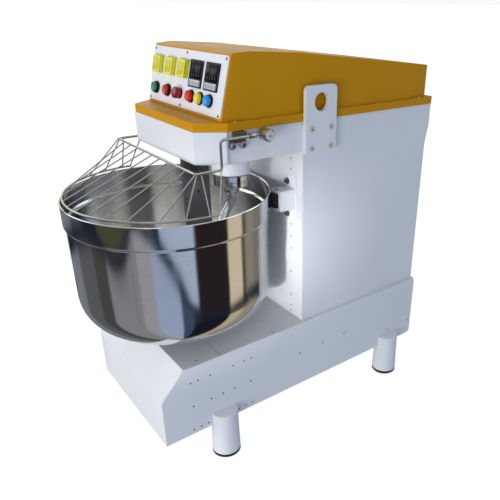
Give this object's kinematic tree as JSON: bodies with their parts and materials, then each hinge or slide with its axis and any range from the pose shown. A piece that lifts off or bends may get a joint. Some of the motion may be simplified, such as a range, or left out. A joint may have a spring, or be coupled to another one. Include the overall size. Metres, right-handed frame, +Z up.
{
  "type": "spiral dough mixer",
  "caption": "Floor-standing spiral dough mixer: a rotating steel bowl under a head that carries the spiral hook, breaker post, wire guard and sloping control panel.",
  "frame": {"origin": "on the floor, in the middle of the machine's width and length", "axes": "+Z up, -Y towards the bowl and the operator, +X towards the operator's right, where the spiral stands"},
  "size_m": [0.6, 1.177, 1.208],
  "materials": {
    "white_paint": "semi-gloss powder coat",
    "grey_steel": "machined",
    "ochre_paint": "semi-gloss powder coat",
    "polished_steel": "polished",
    "dark_steel": "satin",
    "panel_white": "satin",
    "black_rubber": "matt",
    "black_plastic": "semi-gloss",
    "yellow_clear_plastic": "clear tinted",
    "motor_paint": "satin",
    "button_green": "semi-gloss",
    "button_red_guarded": "semi-gloss",
    "button_stop": "semi-gloss",
    "button_red": "semi-gloss",
    "button_yellow": "semi-gloss",
    "button_blue": "semi-gloss"
  },
  "bodies": {
    "frame": {"base_deck": "white_paint", "base_pan": "white_paint", "base_side_left": "white_paint", "base_side_right": "white_paint", "body_side_left": "white_paint", "body_side_right": "white_paint", "bowl_bearing": "grey_steel", "bowl_belt": "black_rubber", "bowl_motor": "motor_paint", "breaker_post": "polished_steel", "cable_gland": "black_plastic", "column_front": "white_paint", "control_plate": "panel_white", "foot_front_left": "white_paint", "foot_front_right": "white_paint", "foot_pad_front_left": "black_rubber", "foot_pad_front_right": "black_rubber", "foot_pad_rear_left": "black_rubber", "foot_pad_rear_right": "black_rubber", "foot_rear_left": "white_paint", "foot_rear_right": "white_paint", "guard_pin_left": "polished_steel", "guard_pin_right": "polished_steel", "guard_switch": "dark_steel", "head_nose": "white_paint", "head_shelf": "white_paint", "lifting_lug_left": "white_paint", "lifting_lug_right": "white_paint", "rear_door": "white_paint", "roller_bracket_left": "white_paint", "roller_bracket_right": "white_paint", "spindle_housing": "white_paint", "spiral_belt": "black_rubber", "spiral_motor": "motor_paint", "timer_1": "black_plastic", "timer_2": "black_plastic", "top_cover": "ochre_paint"},
    "bowl": {"bowl": "polished_steel", "bowl_shaft": "grey_steel", "bowl_pulley": "grey_steel"},
    "spiral": {"spindle_shaft": "polished_steel", "spindle_pulley": "grey_steel", "spiral_hook": "polished_steel"},
    "bowl_motor_rotor": {"bowl_motor_pulley": "grey_steel"},
    "spiral_motor_rotor": {"spiral_motor_pulley": "grey_steel"},
    "roller_right": {"bowl_roller_right": "black_rubber"},
    "roller_left": {"bowl_roller_left": "black_rubber"},
    "guard": {"bowl_guard": "polished_steel"},
    "button_green": {"button_green": "button_green"},
    "button_red_guarded": {"button_red_guarded": "button_red_guarded"},
    "button_stop": {"button_stop": "button_stop"},
    "button_red": {"button_red": "button_red"},
    "button_yellow": {"button_yellow": "button_yellow"},
    "button_blue": {"button_blue": "button_blue"},
    "start_button_1": {"start_button_1": "black_plastic"},
    "flip_cover_1": {"flip_cover_1": "yellow_clear_plastic"},
    "start_button_2": {"start_button_2": "black_plastic"},
    "flip_cover_2": {"flip_cover_2": "yellow_clear_plastic"},
    "start_button_3": {"start_button_3": "black_plastic"},
    "flip_cover_3": {"flip_cover_3": "yellow_clear_plastic"}
  },
  "joints": [
    {"name": "bowl_spin", "type": "hinge", "parent": "frame", "child": "bowl", "pos_m": [0, -0.2885, 0.418], "axis": [0, 0, 1], "continuous": true},
    {"name": "spiral_spin", "type": "hinge", "parent": "frame", "child": "spiral", "pos_m": [0.124, -0.146, 0.84], "axis": [0, 0, 1], "continuous": true},
    {"name": "bowl_motor_spin", "type": "hinge", "parent": "frame", "child": "bowl_motor_rotor", "pos_m": [0, 0.19, 0.24], "axis": [0, 0, 1], "continuous": true},
    {"name": "spiral_motor_spin", "type": "hinge", "parent": "frame", "child": "spiral_motor_rotor", "pos_m": [0, 0.3, 0.975], "axis": [0, 0, 1], "continuous": true},
    {"name": "roller_right_spin", "type": "hinge", "parent": "frame", "child": "roller_right", "pos_m": [0.16812, -0.01787, 0.7785], "axis": [0, 0, 1], "continuous": true},
    {"name": "roller_left_spin", "type": "hinge", "parent": "frame", "child": "roller_left", "pos_m": [-0.16812, -0.01787, 0.7785], "axis": [0, 0, 1], "continuous": true},
    {"name": "guard_open", "type": "hinge", "parent": "frame", "child": "guard", "pos_m": [0, -0.113, 1.0035], "axis": [-1, 0, 0], "range_deg": [0, 60]},
    {"name": "push_green", "type": "slide", "parent": "frame", "child": "button_green", "axis": [0, 0.9707, -0.2402], "range_m": [0, 0.004], "stiffness_N_per_m": 800},
    {"name": "push_red_guarded", "type": "slide", "parent": "frame", "child": "button_red_guarded", "axis": [0, 0.9707, -0.2402], "range_m": [0, 0.004], "stiffness_N_per_m": 800},
    {"name": "push_stop", "type": "slide", "parent": "frame", "child": "button_stop", "axis": [0, 0.9707, -0.2402], "range_m": [0, 0.004], "stiffness_N_per_m": 800},
    {"name": "push_red", "type": "slide", "parent": "frame", "child": "button_red", "axis": [0, 0.9707, -0.2402], "range_m": [0, 0.004], "stiffness_N_per_m": 800},
    {"name": "push_yellow", "type": "slide", "parent": "frame", "child": "button_yellow", "axis": [0, 0.9707, -0.2402], "range_m": [0, 0.004], "stiffness_N_per_m": 800},
    {"name": "push_blue", "type": "slide", "parent": "frame", "child": "button_blue", "axis": [0, 0.9707, -0.2402], "range_m": [0, 0.004], "stiffness_N_per_m": 800},
    {"name": "push_start_1", "type": "slide", "parent": "frame", "child": "start_button_1", "axis": [0, 0.9707, -0.2402], "range_m": [0, 0.004], "stiffness_N_per_m": 800},
    {"name": "push_start_2", "type": "slide", "parent": "frame", "child": "start_button_2", "axis": [0, 0.9707, -0.2402], "range_m": [0, 0.004], "stiffness_N_per_m": 800},
    {"name": "push_start_3", "type": "slide", "parent": "frame", "child": "start_button_3", "axis": [0, 0.9707, -0.2402], "range_m": [0, 0.004], "stiffness_N_per_m": 800},
    {"name": "flip_1_open", "type": "hinge", "parent": "frame", "child": "flip_cover_1", "pos_m": [-0.167, -0.19763, 1.17242], "axis": [-1, 0, 0], "range_deg": [0, 90]},
    {"name": "flip_2_open", "type": "hinge", "parent": "frame", "child": "flip_cover_2", "pos_m": [-0.087, -0.19763, 1.17242], "axis": [-1, 0, 0], "range_deg": [0, 90]},
    {"name": "flip_3_open", "type": "hinge", "parent": "frame", "child": "flip_cover_3", "pos_m": [-0.009, -0.19763, 1.17242], "axis": [-1, 0, 0], "range_deg": [0, 90]}
  ],
  "couplings": [
    {"joint": "bowl_motor_spin", "follows": "bowl_spin", "ratio": 4},
    {"joint": "spiral_motor_spin", "follows": "spiral_spin", "ratio": 2.2},
    {"joint": "roller_right_spin", "follows": "bowl_spin", "ratio": -16.667},
    {"joint": "roller_left_spin", "follows": "bowl_spin", "ratio": -16.667}
  ]
}
